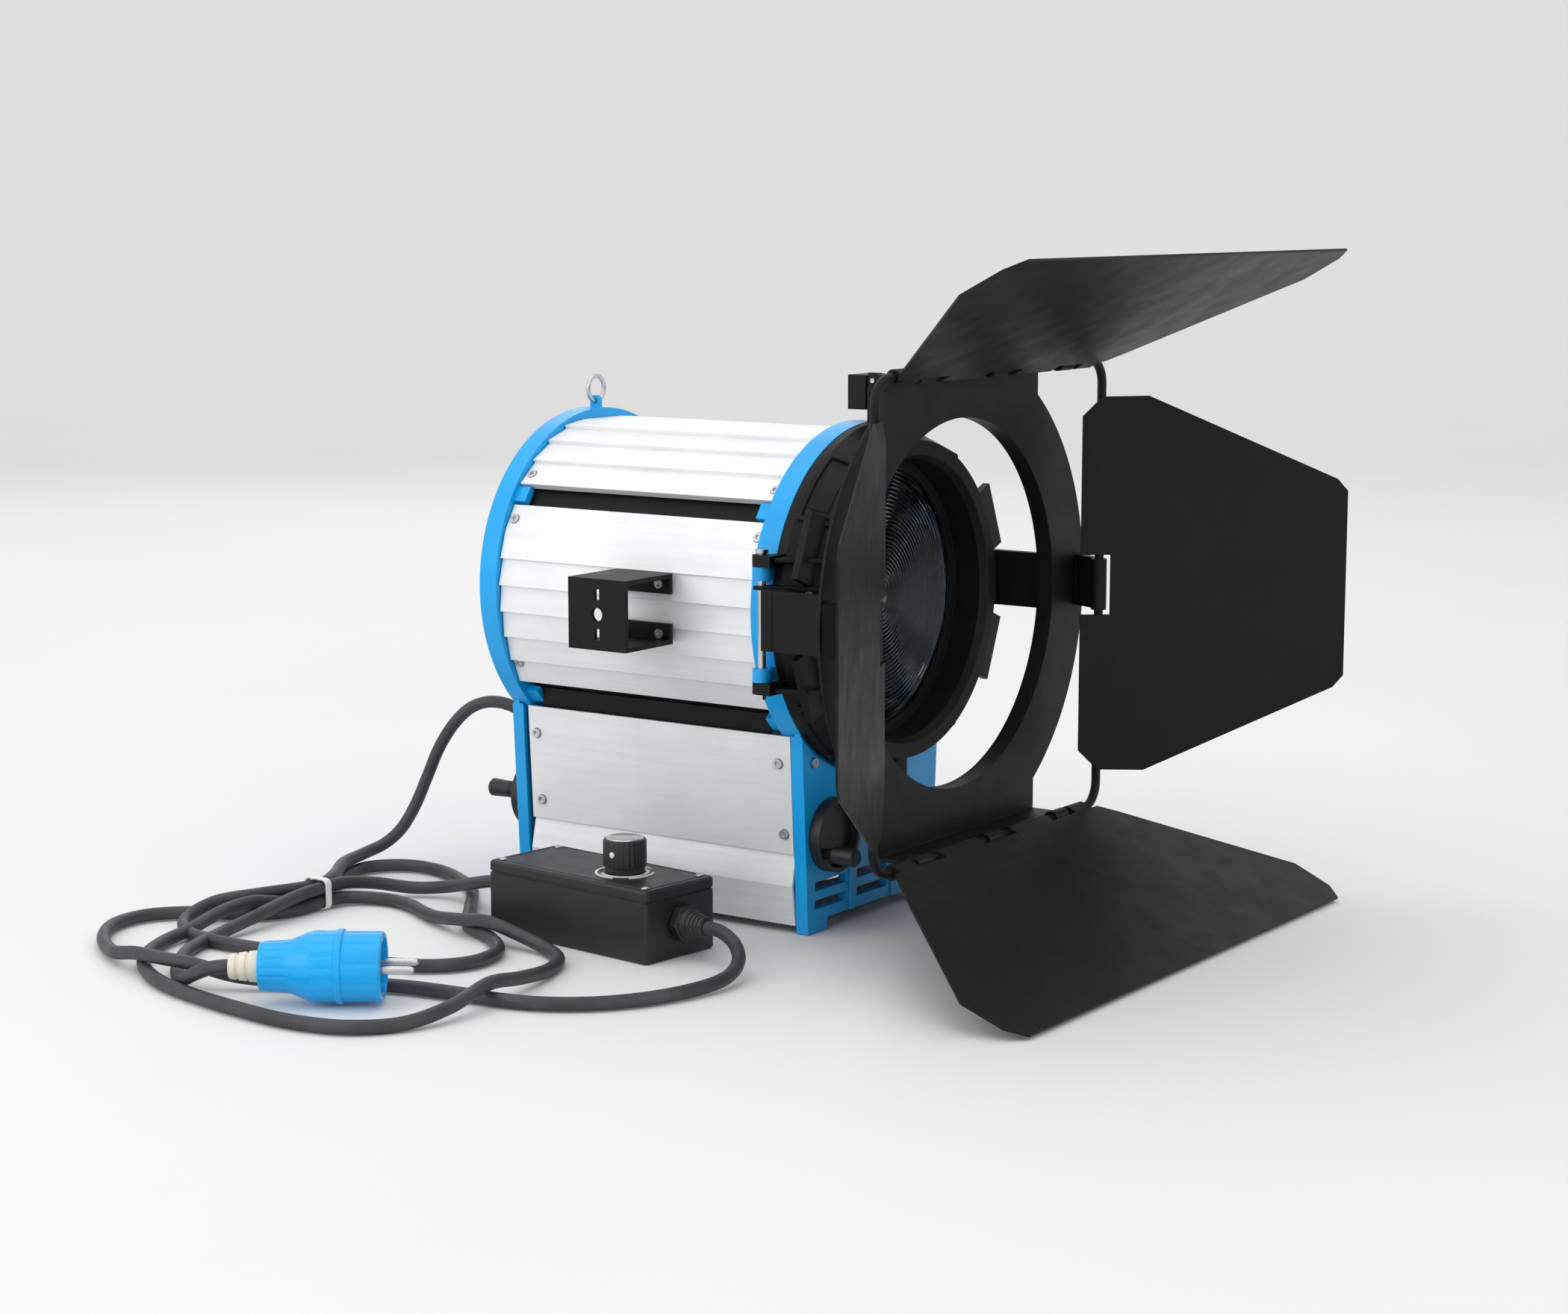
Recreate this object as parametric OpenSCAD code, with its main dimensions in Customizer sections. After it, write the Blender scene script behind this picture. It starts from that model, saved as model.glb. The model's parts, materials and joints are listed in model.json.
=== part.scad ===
// Fresnel spotlight with barn doors, inline dimmer and mains plug.
// +Z is up, the lens faces -Y, and the origin is the centre of the base's underside.

/* [Housing] */
// Height of the optical axis above the surface that the base stands on
axis_h = 210; // [208:1:214]
// Outer radius of the front and rear frames
frame_r = 113; // [112:0.5:114]
// Depth of the housing from the front frame to the rear frame
body_l = 236; // [232:2:240]
// Half width of the base at its neck
neck_w = 81; // [80:0.5:82]
// Half width of the base at its feet
foot_w = 74; // [72:0.5:75]

/* [Lens] */
// Radius of the Fresnel lens
lens_r = 88; // [86:0.5:88.5]
// Depth of the lens door in front of the housing
door_depth = 32; // [30:1:33]

/* [Barn doors] */
// Radius of the opening in the barn door plate
plate_hole_r = 118; // [116:0.5:118]
// Outer radius of the barn door plate
plate_r = 159; // [156:1:160]
// Half width between the centres of the upright rods
rod_x = 137.5; // [137:0.5:139]
// Half height between the centres of the level rods
rod_z = 149.5; // [149:0.5:150]
// Radius of the hinge rods
rod_r = 3; // [2.8:0.1:3]
// Length of the top and bottom leaves
big_leaf = 159; // [150:1:160]
// Length of the side leaves
side_leaf = 165; // [155:1:166]
// Angle of the top leaf above the lens axis
top_angle = 28.4; // [20:0.1:40]
// Angle of the bottom leaf below the lens axis
bottom_angle = 22.9; // [15:0.1:22.9]
// Angle of the left leaf away from the lens axis
left_angle = 65.3; // [50:0.1:70]
// Angle of the right leaf away from the lens axis
right_angle = 37.3; // [30:0.1:45]

/* [Yoke brackets] */
// Height of the tilt axis
yoke_z = 208; // [206:1:210]
// Place of the tilt axis along the housing
yoke_y = -17; // [-20:1:-14]
// Width and height of a bracket's plate
yoke_w = 45; // [42:1:48]
// Distance of a bracket's face from the lens axis plane
yoke_x = 160; // [156:1:164]
// Radius of the yoke bolt's bore
yoke_bore_r = 4.3; // [4:0.1:5]

/* [Focus drive] */
// Place of the focus spindle across the base
spindle_x = -50; // [-52:1:-48]
// Height of the focus spindle
spindle_z = 62; // [60:1:64]
// Radius of the crank discs
crank_r = 24; // [22:0.5:25]

/* [Dimmer and cords] */
// Length of the dimmer box
box_l = 140; // [136:1:142]
// Width of the dimmer box
box_w = 62; // [60:1:64]
// Height of the dimmer box
box_h = 46; // [45:1:48]
// Outer diameter of both cords
cord_d = 8.5; // [8:0.1:9]

/* [Hidden] */
$fn = 64;

// Colours
blue = [0.09, 0.55, 0.92];
silver = [0.85, 0.86, 0.87];
black = [0.05, 0.05, 0.055];
steel = [0.62, 0.63, 0.65];
ceramic = [0.93, 0.91, 0.86];

// Forward distance of planes, measured from the origin towards the lens
front_f = body_l / 2;
rim_back = front_f - 17;
rim_face = front_f - 1.5;
rear_rim_face = -(front_f - 14);
neck_z = 131;
wall = 3;
rim_inner_r = 94;
liner_r = 103;
gap = 0.3;
door_f = front_f - 1;
claw_f = front_f + 54;
plate_f = front_f + 64;
rod_f = front_f + 90;
hinge_x = -118;
ring_y = 108;
ring_z = axis_h + frame_r + 4.5;
hinge_y = -(front_f - 4.8);
sheet = 1.5;

// Things turned about the lens axis are drawn with +Z forward, from forward distance f
module about_axis(f) {
    translate([0, -f, axis_h]) rotate([90, 0, 0]) children();
}

// A place on the left of the housing, at angle a above the level, with +Z pointing outwards
module radial(y, a) {
    translate([0, y, axis_h]) rotate([0, a - 90, 0]) children();
}

module both_sides() {
    children();
    mirror([1, 0, 0]) children();
}

module tube(r_out, r_in, h) {
    difference() {
        cylinder(r = r_out, h = h);
        translate([0, 0, -1]) cylinder(r = r_in, h = h + 2);
    }
}

// ---------------------------------------------------------------- housing frames

module base_outline(drop = 0) {
    polygon([[-neck_w, neck_z - axis_h], [neck_w, neck_z - axis_h],
             [foot_w, drop - axis_h], [-foot_w, drop - axis_h]]);
}

// The base's face below the round rim, down to the arch between the feet
module base_face(clear_r) {
    difference() {
        base_outline();
        circle(r = clear_r);
        translate([-52, -axis_h - 1]) square([104, 9]);
    }
}

module side_strip(clear_r) {
    difference() {
        polygon([[-neck_w, neck_z - axis_h], [-neck_w + wall, neck_z - axis_h],
                 [-foot_w + wall, -axis_h], [-foot_w, -axis_h]]);
        circle(r = clear_r);
    }
}

// One column of slots in a base's face
module slot_column(x, w, y) {
    for (z = [15, 27]) translate([x - w / 2, y - 10, z]) cube([w, 20, 6]);
}

module frame_casting(back, face, web, rim_depth) {
    about_axis(back) linear_extrude(rim_depth) difference() {
        circle(r = frame_r, $fn = 128);
        circle(r = rim_inner_r, $fn = 128);
    }
    about_axis(web) linear_extrude(4.5) base_face(100);
    about_axis(face) linear_extrude(9) {
        side_strip(frame_r + 1.5);
        mirror([1, 0]) side_strip(frame_r + 1.5);
    }
}

// Lugs that close the ends of the two dark vents
module vent_lug(y, a) {
    radial(y, a) translate([-5.5, -5, 104.5]) cube([11, 10, 5]);
}

module front_frame() {
    color(blue) difference() {
        union() {
            frame_casting(rim_back, front_f - 9, front_f - 6, 15.5);
            about_axis(front_f - 2) linear_extrude(2) base_face(frame_r + 1.5);
            for (z = [232.3, 169]) translate([hinge_x, hinge_y, z]) {
                cylinder(r = 6, h = 8.4);
                translate([0, -3.2, 0]) cube([12, 8, 8.4]);
            }
            both_sides() for (a = [34.2, -43.5]) vent_lug(-rim_back + 4.5, a);
            for (z = [193, 222]) translate([119, -(front_f - 10), z]) {
                cylinder(r = 4.5, h = 5);
                translate([-12, -4, 0]) cube([12, 8, 5]);
            }
            translate([-27, -front_f - 1, 8]) cube([5, 4, 28]);
            translate([22, -front_f - 1, 8]) cube([5, 4, 28]);
        }
        translate([hinge_x, hinge_y, 160]) cylinder(r = 2.6, h = 90);
        translate([119, -(front_f - 10), 190]) cylinder(r = 2.1, h = 40);
        for (x = [-48.5, 0, 48.5]) slot_column(x, 36, -front_f);
        translate([spindle_x, -front_f + 20, spindle_z]) rotate([90, 0, 0]) cylinder(r = 7.1, h = 40);
        both_sides() translate([-68.5, -front_f + 20, 111]) rotate([90, 0, 0]) cylinder(r = 3.4, h = 40);
    }
}

module rear_frame() {
    color(blue) difference() {
        union() {
            frame_casting(-front_f, -front_f, -front_f + 1.5, 14);
            both_sides() for (a = [34.2, -43.5]) vent_lug(-rear_rim_face - 4.5, a);
            translate([-1.5, ring_y - 4, axis_h + frame_r - 2]) cube([3, 8, 5.5]);
            translate([-1.5, ring_y, ring_z]) rotate([0, 90, 0]) cylinder(r = 4, h = 3);
        }
        for (x = [-48.5, 0, 48.5]) slot_column(x, 36, front_f);
        translate([spindle_x, front_f + 20, spindle_z]) rotate([90, 0, 0]) cylinder(r = 7.1, h = 40);
        translate([-10, ring_y, ring_z]) rotate([0, 90, 0]) cylinder(r = 1.9, h = 20);
        translate([gland_x, front_f + 20, gland_z]) rotate([90, 0, 0]) cylinder(r = 7.1, h = 40);
    }
}

module rear_cover() {
    color(black) difference() {
        union() {
            about_axis(rear_rim_face + 0.3) cylinder(r = 100, h = 2, $fn = 96);
            about_axis(-front_f + 4) cylinder(r = rim_inner_r - gap, h = 10.5, $fn = 96);
        }
        about_axis(-front_f + 7) cylinder(r = 88, h = 30, $fn = 96);
        for (i = [-4:4]) translate([-40, 90, axis_h + i * 15 - 3]) cube([80, 40, 6]);
    }
}

module inner_liner() {
    color(black) difference() {
        about_axis(rear_rim_face + 2.6) tube(liner_r, liner_r - 2, rim_back - rear_rim_face - 2.8, $fn = 96);
        translate([-64, -130, axis_h - 110]) cube([128, 260, 35]);
    }
}

// ---------------------------------------------------------------- panels

// Outline of an extruded panel with lapped strips: each strip stands proud at its lower edge.
// cuts is the list of angles between the strips, from the lowest up.
function polar(r, a) = [-r * cos(a), r * sin(a)];
function lapped(cuts, proud, low) =
    [for (i = [0 : len(cuts) - 2]) for (end = [0, 1]) polar(end == 0 ? proud : low, cuts[i + end])];
function inner_arc(cuts, r) = [for (i = [len(cuts) - 1 : -1 : 0]) polar(r, cuts[i])];

side_cuts = [-35, -25.9, -16.8, -7.7, 1.4, 10.6, 20.4, 30.2];
top_cuts = [for (i = [0 : 4]) 37.8 + i * 10.3];
proud_r = 111;
low_r = 108.4;
panel_back = 103.2;
panel_l = panel_back + rim_back - 0.5;

// The side panel's top two strips are one flat face
function side_outer() = concat(
    lapped([for (i = [0 : 5]) side_cuts[i]], proud_r, low_r),
    [polar(proud_r, side_cuts[5]), polar(proud_r - 0.6, side_cuts[6]), polar(low_r, side_cuts[7])]);

module screw_hole(y, a) {
    radial(y, a) cylinder(r = 3.4, h = 130);
}

side_screws = [[98.5, 24.8], [-97, 24.8], [98.5, -27.4], [-97, -27.4]];
top_screws = [[98.5, 42.5], [-97, 42.5]];

module side_panel() {
    color(silver) difference() {
        about_axis(-panel_back) linear_extrude(panel_l)
            polygon(concat(side_outer(), inner_arc(side_cuts, 105.6)));
        for (s = side_screws) screw_hole(s[0], s[1]);
    }
}

module side_panel_left() {
    side_panel();
}

module side_panel_right() {
    mirror([1, 0, 0]) side_panel();
}

module top_panel() {
    left = lapped(top_cuts, proud_r, low_r);
    right = [for (i = [len(left) - 1 : -1 : 0]) [-left[i][0], left[i][1]]];
    inner = [for (i = [-5 : 5]) polar(105.4, 90 - i * 10.44)];
    color(silver) difference() {
        about_axis(-panel_back) linear_extrude(panel_l) polygon(concat(left, right, inner));
        both_sides() for (s = top_screws) screw_hole(s[0], s[1]);
    }
}

base_screws = [[98, 110], [96, 64.5], [-99, 110], [-102, 64.5]];

module base_panel() {
    color(silver) difference() {
        translate([0, 104.5, 0]) rotate([90, 0, 0]) linear_extrude(213) polygon([
            [-80.8, 128.2], [-78.5, 128.2], [-74.3, 51.5], [-76.6, 51.5]]);
        for (s = base_screws) translate([-90, s[0], s[1]]) rotate([0, 90, 0]) cylinder(r = 3.4, h = 30);
    }
}

module base_panel_left() {
    base_panel();
}

module base_panel_right() {
    mirror([1, 0, 0]) base_panel();
}

// A dark sheet behind the lower vent, from just below the liner down inside the base
module vent_screen() {
    color(black) translate([0, 94, 0]) rotate([90, 0, 0]) linear_extrude(185) polygon([
        [-78.2, 141.2], [-77.4, 141.2], [-73.0, 100], [-73.8, 100]]);
}

module vent_screen_left() {
    vent_screen();
}

module vent_screen_right() {
    mirror([1, 0, 0]) vent_screen();
}

module base_skirt() {
    color(silver) translate([0, 104.5, 0]) rotate([90, 0, 0]) linear_extrude(213) polygon([
        [-74.2, 55], [-74.2, 50.5], [-78.5, 31], [-75, 5], [-73, 5], [-76.3, 31], [-72, 50.5], [-72, 55]]);
}

module base_skirt_left() {
    base_skirt();
}

module base_skirt_right() {
    mirror([1, 0, 0]) base_skirt();
}

module base_plate() {
    color(steel) difference() {
        translate([-70.5, -front_f + 6.5, 8.2]) cube([141, body_l - 13, 2]);
        for (x = [-40, 0, 40]) for (y = [-60, -20, 20, 60]) {
            translate([x - 14, y - 5, 0]) cube([28, 10, 20]);
        }
    }
}

// A pan-head screw with a hexagon socket, its underside at z = 0
module screw(len) {
    difference() {
        union() {
            cylinder(r = 3.1, h = 2.2, $fn = 32);
            translate([0, 0, -len]) cylinder(r = 1.9, h = len + 0.1, $fn = 24);
        }
        translate([0, 0, 1]) cylinder(r = 1.7, h = 3, $fn = 6);
    }
}

module panel_screws() {
    color(steel) {
        both_sides() {
            for (s = concat(side_screws, top_screws)) radial(s[0], s[1]) translate([0, 0, 108]) screw(4);
            for (s = base_screws) {
                translate([-76.3 - (s[1] - 51.5) * 4.3 / 79, s[0], s[1]]) rotate([0, -90, 0]) screw(4);
            }
            translate([-68.5, -front_f, 111]) rotate([90, 0, 0]) screw(6);
        }
    }
}

module safety_ring() {
    color(steel) translate([0, ring_y, ring_z + 8.4]) rotate([90, 0, 0])
        rotate_extrude() translate([8.5, 0]) circle(r = 1.6, $fn = 24);
}

// ---------------------------------------------------------------- yoke brackets

module yoke_bracket() {
    foot_x = 114.2;
    half = yoke_w / 2;
    color(black) translate([0, yoke_y, yoke_z]) difference() {
        union() {
            translate([-yoke_x, -half, -half]) cube([3, yoke_w, yoke_w]);
            for (s = [-1, 1]) {
                translate([-yoke_x, -half, s > 0 ? half - 3 : -half]) cube([yoke_x - foot_x + 3, yoke_w, 3]);
                translate([-foot_x, -half, s > 0 ? half - 13 : -half]) cube([3, yoke_w, 13]);
            }
        }
        translate([-yoke_x - 1, 0, 0]) rotate([0, 90, 0]) cylinder(r = yoke_bore_r, h = 5);
        for (s = [-1, 1]) {
            translate([-yoke_x - 1, -2, s * 12.5 - 3.5]) cube([5, 4, 7]);
            for (y = [-15, 15]) {
                translate([-foot_x - 1, y, s * 16]) rotate([0, 90, 0]) cylinder(r = 2.2, h = 5);
            }
        }
    }
}

module yoke_bracket_left() {
    yoke_bracket();
}

module yoke_bracket_right() {
    mirror([1, 0, 0]) yoke_bracket();
}

module bracket_screws() {
    color(steel) both_sides() for (y = [-15, 15]) for (s = [-1, 1]) {
        translate([-114.2, yoke_y + y, yoke_z + s * 16]) rotate([0, -90, 0]) screw(2.6);
    }
}

// ---------------------------------------------------------------- lamp cord gland

gland_x = -45;
gland_z = 118;

module cable_gland() {
    color(black) translate([gland_x, front_f - 1.4, gland_z]) rotate([-90, 0, 0]) difference() {
        union() {
            translate([0, 0, -6]) cylinder(r = 7, h = 8);
            translate([0, 0, 1.6]) cylinder(r = 10, h = 6, $fn = 6);
            translate([0, 0, 7.6]) cylinder(r1 = 7.5, r2 = 5, h = 22);
        }
        translate([0, 0, -7]) cylinder(r = cord_d / 2 + 0.05, h = 45);
    }
}

// ---------------------------------------------------------------- lamp and focus drive

rod_pair_x = 34;
rod_pair_z = 92;
carriage_y = -10;

module guide_rods() {
    color(steel) for (s = [-1, 1]) translate([s * rod_pair_x, -front_f + 6.2, rod_pair_z]) {
        rotate([-90, 0, 0]) cylinder(r = 4, h = body_l - 12.4);
    }
}

module lamp_carriage() {
    color(steel) difference() {
        union() {
            translate([-46, carriage_y - 14, 84]) cube([92, 28, 16]);
            translate([spindle_x - 10, carriage_y - 14, 50]) cube([20, 28, 40]);
            translate([-12, carriage_y - 10, 99]) cube([24, 20, 39]);
        }
        for (s = [-1, 1]) translate([s * rod_pair_x, carriage_y - 20, rod_pair_z]) {
            rotate([-90, 0, 0]) cylinder(r = 4.05, h = 40);
        }
        translate([spindle_x, carriage_y - 20, spindle_z]) rotate([-90, 0, 0]) cylinder(r = 5.05, h = 40);
    }
}

module lamp_holder() {
    color(ceramic) translate([0, carriage_y, 138]) {
        translate([-15, -9, 0]) cube([30, 18, 22]);
        translate([0, 0, 22]) cylinder(r = 12, h = 8);
    }
}

module halogen_lamp() {
    color([0.85, 0.9, 0.92, 0.5]) translate([0, carriage_y, 168]) {
        cylinder(r = 8, h = 14);
        translate([0, 0, 14]) cylinder(r = 14, h = 44);
        translate([0, 0, 58]) sphere(r = 14);
    }
}

// A dished mirror behind the lamp, on a bracket from the post
module reflector() {
    shell_r = 62;
    color(steel) {
        translate([0, carriage_y + 2, axis_h]) rotate([-90, 0, 0]) rotate_extrude() intersection() {
            difference() {
                circle(r = shell_r, $fn = 96);
                circle(r = shell_r - 2, $fn = 96);
            }
            translate([0, 26]) square([60, 40]);
        }
        translate([-7, carriage_y + 10, 112]) cube([14, 3, 25]);
        translate([-7, carriage_y + 10, 134]) cube([14, 21.5, 3]);
        translate([-7, carriage_y + 28.5, 134]) cube([14, 3, 22]);
    }
}

module focus_spindle() {
    reach = front_f + 1.4;
    color(steel) translate([spindle_x, -reach, spindle_z]) rotate([-90, 0, 0]) cylinder(r = 5, h = 2 * reach);
}

// A crank disc with its boss through the frame, drawn facing forward
module crank_disc(grip_a) {
    difference() {
        union() {
            translate([0, 0, -9]) cylinder(r = 7, h = 9.5);
            cylinder(r = crank_r, h = 3);
            tube_rim();
        }
        translate([0, 0, -10]) cylinder(r = 5, h = 11);
        rotate([0, 0, grip_a]) translate([17, 0, -1]) cylinder(r = 2.1, h = 9);
    }
}

module tube_rim() {
    tube(crank_r, crank_r - 3, 8);
}

front_grip_a = 215;
rear_grip_a = 168;

module front_crank() {
    color(black) translate([spindle_x, -front_f - 0.5, spindle_z]) rotate([90, 0, 0]) crank_disc(front_grip_a);
}

module rear_crank() {
    color(black) translate([spindle_x, front_f + 0.5, spindle_z]) mirror([0, 1, 0]) rotate([90, 0, 0])
        crank_disc(rear_grip_a);
}

module crank_grip() {
    cylinder(r = 2.05, h = 8);
    translate([0, 0, 3.1]) cylinder(r1 = 3.2, r2 = 3.6, h = 6.5);
    translate([0, 0, 9.6]) cylinder(r1 = 3.6, r2 = 5.6, h = 4);
    translate([0, 0, 13.6]) cylinder(r1 = 5.6, r2 = 6.1, h = 15);
    translate([0, 0, 28.6]) cylinder(r1 = 6.1, r2 = 4.8, h = 1.4);
}

module front_grip() {
    color(black) translate([spindle_x, -front_f - 0.5, spindle_z]) rotate([90, 0, 0])
        rotate([0, 0, front_grip_a]) translate([17, 0, 0.1]) crank_grip();
}

module rear_grip() {
    color(black) translate([spindle_x, front_f + 0.5, spindle_z]) mirror([0, 1, 0]) rotate([90, 0, 0])
        rotate([0, 0, rear_grip_a]) translate([17, 0, 0.1]) crank_grip();
}

// ---------------------------------------------------------------- lens door

arm_r = 129.5;

// One bracket arm at angle a around the door, with a groove for the accessory ring
module accessory_arm(a, w) {
    rotate([0, 0, a]) {
        translate([100, -w / 2, 8]) cube([36, w, 8]);
        translate([arm_r, -w / 2, 8]) cube([6, w, claw_f - door_f]);
        for (f = [-3.3, 3.3]) translate([arm_r - 5, -w / 2, claw_f - door_f + 1.5 + f - 1.5]) cube([6, w, 3]);
    }
}

module lens_door() {
    d = door_depth;
    color(black) difference() {
        union() {
            about_axis(door_f) {
                difference() {
                    rotate_extrude($fn = 128) polygon([
                        [84, 5.2], [112.7, 0], [112.7, 6], [102, d], [93, d], [90, d - 5], [90, 8], [84, 8]]);
                }
                for (a = [0, 90, 180, 270]) accessory_arm(a, 37);
                for (s = [-1, 1]) for (a = [22, 158]) rotate([0, 0, s * a]) {
                    translate([96, -22, d - 12]) cube([26, 44, 5]);
                }
            }
            for (z = [240.9, 161.6]) translate([hinge_x, hinge_y, z]) {
                cylinder(r = 6, h = 7.2);
                translate([0, -10, 0]) cube([22, 6.2, 7.2]);
                translate([-6, -10, 0]) cube([9, 10, 7.2]);
            }
            for (s = [-1, 1]) translate([s * 14.7 - 1.3, -door_f - 16, axis_h + 134]) cube([2.6, 9, 11]);
        }
        about_axis(door_f - 1) cylinder(r = 83.9, h = 60, $fn = 128);
        about_axis(door_f - 1) cylinder(r = lens_r + 2, h = 6.3, $fn = 128);
        translate([hinge_x, hinge_y, 150]) cylinder(r = 2.6, h = 110);
        translate([-20, -door_f - 11, axis_h + 140]) rotate([0, 90, 0]) cylinder(r = 1.6, h = 40);
    }
}

module hinge_pin() {
    color(steel) translate([hinge_x, hinge_y, 158]) {
        cylinder(r = 2.5, h = 93);
        translate([0, 0, 91]) cylinder(r = 4, h = 2.5);
    }
}

// Stepped rings stand for the Fresnel face
module fresnel_lens() {
    rings = 14;
    ring_r = lens_r - 5.5;
    pitch = (ring_r - 8) / rings;
    color([0.75, 0.82, 0.85, 0.45]) about_axis(door_f + 1.3) rotate_extrude($fn = 128) polygon(concat(
        [[0, 0], [lens_r, 0], [lens_r, 3.8]],
        [for (i = [rings - 1 : -1 : 0]) for (k = [1, 0]) [8 + (i + k) * pitch, k == 1 ? 3.8 : 5.8]],
        [[0, 6.8]]));
}

module lens_retainer() {
    color(steel) about_axis(door_f - 0.4) {
        tube(lens_r + 1.8, lens_r - 4, 1.6, $fn = 96);
        for (a = [45, 135, 225, 315]) rotate([0, 0, a]) translate([lens_r - 12, -5, 0]) cube([10, 10, 1.6]);
    }
}

latch_f = front_f - 10;

module door_latch() {
    color(black) difference() {
        union() {
            translate([117, -(latch_f + 16.8), 198.6]) cube([4, 20.8, 22.8]);
            translate([119, -latch_f, 198.6]) cylinder(r = 4.2, h = 22.8);
            for (i = [0 : 4]) translate([120.9, -(latch_f + 14 - i * 3), 199.6]) cube([5, 1.6, 20.8]);
        }
        translate([119, -latch_f, 190]) cylinder(r = 2.1, h = 40);
    }
}

module latch_pin() {
    color(steel) translate([119, -latch_f, 191.8]) {
        cylinder(r = 2.02, h = 37);
        translate([0, 0, 35.4]) cylinder(r = 3.4, h = 1.6);
    }
}

module top_latch() {
    pivot_z = axis_h + 140;
    color(black) difference() {
        union() {
            translate([-12, -(door_f + 2.4), axis_h + 121]) cube([24, 13.4, 22]);
            translate([-9, -(door_f + 58), axis_h + 137]) cube([18, 56, 4]);
            translate([-9, -(door_f + 62), axis_h + 135.8]) cube([18, 4.1, 5.2]);
            translate([-12.9, -(door_f + 11), pivot_z]) rotate([0, 90, 0]) cylinder(r = 3.4, h = 25.8);
        }
        translate([-20, -(door_f + 11), pivot_z]) rotate([0, 90, 0]) cylinder(r = 1.6, h = 40);
    }
}

module top_latch_pin() {
    color(steel) translate([-17.5, -(door_f + 11), axis_h + 140]) rotate([0, 90, 0]) cylinder(r = 1.54, h = 35);
}

// ---------------------------------------------------------------- barn doors

module barndoor_ring() {
    color(black) about_axis(claw_f + 0.2) {
        tube(arm_r - 0.5, plate_hole_r, 2.6, $fn = 128);
        tube(plate_hole_r + 2.5, plate_hole_r, plate_f - claw_f - 0.2, $fn = 128);
    }
}

module rod_bush(l) {
    translate([0, 0, -l / 2]) tube(5.2, rod_r + 0.1, l);
}

module barndoor_plate() {
    bar = 95;
    z0 = rod_z - 1;
    tab = rod_f - plate_f;
    color(black) about_axis(plate_f) difference() {
        union() {
            linear_extrude(2) difference() {
                intersection() {
                    union() {
                        circle(r = plate_r, $fn = 128);
                        square([2 * bar, 2 * rod_z], center = true);
                    }
                    square([2 * plate_r, 2 * rod_z], center = true);
                }
                circle(r = plate_hole_r, $fn = 128);
            }
            for (s = [-1, 1]) {
                translate([-bar, s > 0 ? rod_z - 2 : -rod_z, 0]) cube([2 * bar, 2, tab - 6.4]);
                for (x = [-85, 0, 85]) {
                    translate([x - 8, s > 0 ? rod_z - 2 : -rod_z, tab - 7]) cube([16, 2, 4]);
                    translate([x, s * rod_z, tab]) rotate([0, 90, 0]) rod_bush(16);
                }
                translate([0, 17, 0]) rotate([90, 0, 0]) linear_extrude(34) polygon([
                    [s * 150, 0], [s * (plate_r - 0.5), 0], [s * (rod_x + 5), tab - 1], [s * (rod_x + 1.5), tab - 3.6]]);
                translate([s * rod_x, 0, tab]) rotate([90, 0, 0]) rod_bush(34);
            }
        }
        for (s = [-1, 1]) {
            translate([-150, s * rod_z, tab]) rotate([0, 90, 0]) cylinder(r = rod_r + 0.1, h = 300);
            translate([s * rod_x, 160, tab]) rotate([90, 0, 0]) cylinder(r = rod_r + 0.1, h = 320);
        }
    }
}

// A rectangle of round rod with bent corners
module rod_frame() {
    bend = 16;
    sx = rod_x - bend;
    sz = rod_z - bend;
    color(steel) about_axis(rod_f) for (k = [0, 1]) rotate([0, 0, k * 180]) {
        translate([-sx, rod_z, 0]) rotate([0, 90, 0]) cylinder(r = rod_r, h = 2 * sx);
        translate([rod_x, sz, 0]) rotate([90, 0, 0]) cylinder(r = rod_r, h = 2 * sz);
        translate([sx, sz, 0]) rotate_extrude(angle = 90) translate([bend, 0]) circle(r = rod_r, $fn = 32);
        mirror([1, 0, 0]) translate([sx, sz, 0]) rotate_extrude(angle = 90) translate([bend, 0])
            circle(r = rod_r, $fn = 32);
    }
}

// Leaves are drawn flat: hinge along X, sheet towards +Y, then turned into place
module leaf_barrel(x0, x1) {
    difference() {
        union() {
            translate([x0, 0, 0]) rotate([0, 90, 0]) cylinder(r = 5, h = x1 - x0);
            translate([x0, 0, 3.4]) cube([x1 - x0, 9, sheet]);
        }
        translate([x0 - 1, 0, 0]) rotate([0, 90, 0]) cylinder(r = rod_r + 0.08, h = x1 - x0 + 2);
    }
}

module big_leaf_flat() {
    l = big_leaf;
    translate([0, 0, 3.4]) linear_extrude(sheet) polygon([
        [-125, 6.8], [125, 6.8], [136.5, 19], [217, 118], [214.5, l - 12], [204, l], [-204, l],
        [-214.5, l - 12], [-217, 118], [-136.5, 19]]);
    for (s = [-1, 1]) {
        leaf_barrel(s > 0 ? 20 : -66, s > 0 ? 66 : -20);
        leaf_barrel(s > 0 ? 98 : -118, s > 0 ? 118 : -98);
    }
}

module side_leaf_flat() {
    l = side_leaf;
    translate([0, 0, 3.4]) linear_extrude(sheet) polygon([
        [-20, 6.8], [20, 6.8], [20, -13], [112, -13], [125, 0], [125.5, 31], [70, l - 7], [62, l],
        [-62, l], [-70, l - 7], [-125.5, 31], [-125, 0], [-112, -13], [-20, -13]]);
    for (s = [-1, 1]) {
        leaf_barrel(s > 0 ? 22 : -104, s > 0 ? 104 : -22);
    }
}

module top_leaf() {
    color(black) about_axis(rod_f) translate([0, rod_z, 0]) rotate([90 - top_angle, 0, 0]) big_leaf_flat();
}

module bottom_leaf() {
    color(black) about_axis(rod_f) translate([0, -rod_z, 0]) mirror([0, 1, 0])
        rotate([90 - bottom_angle, 0, 0]) big_leaf_flat();
}

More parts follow.
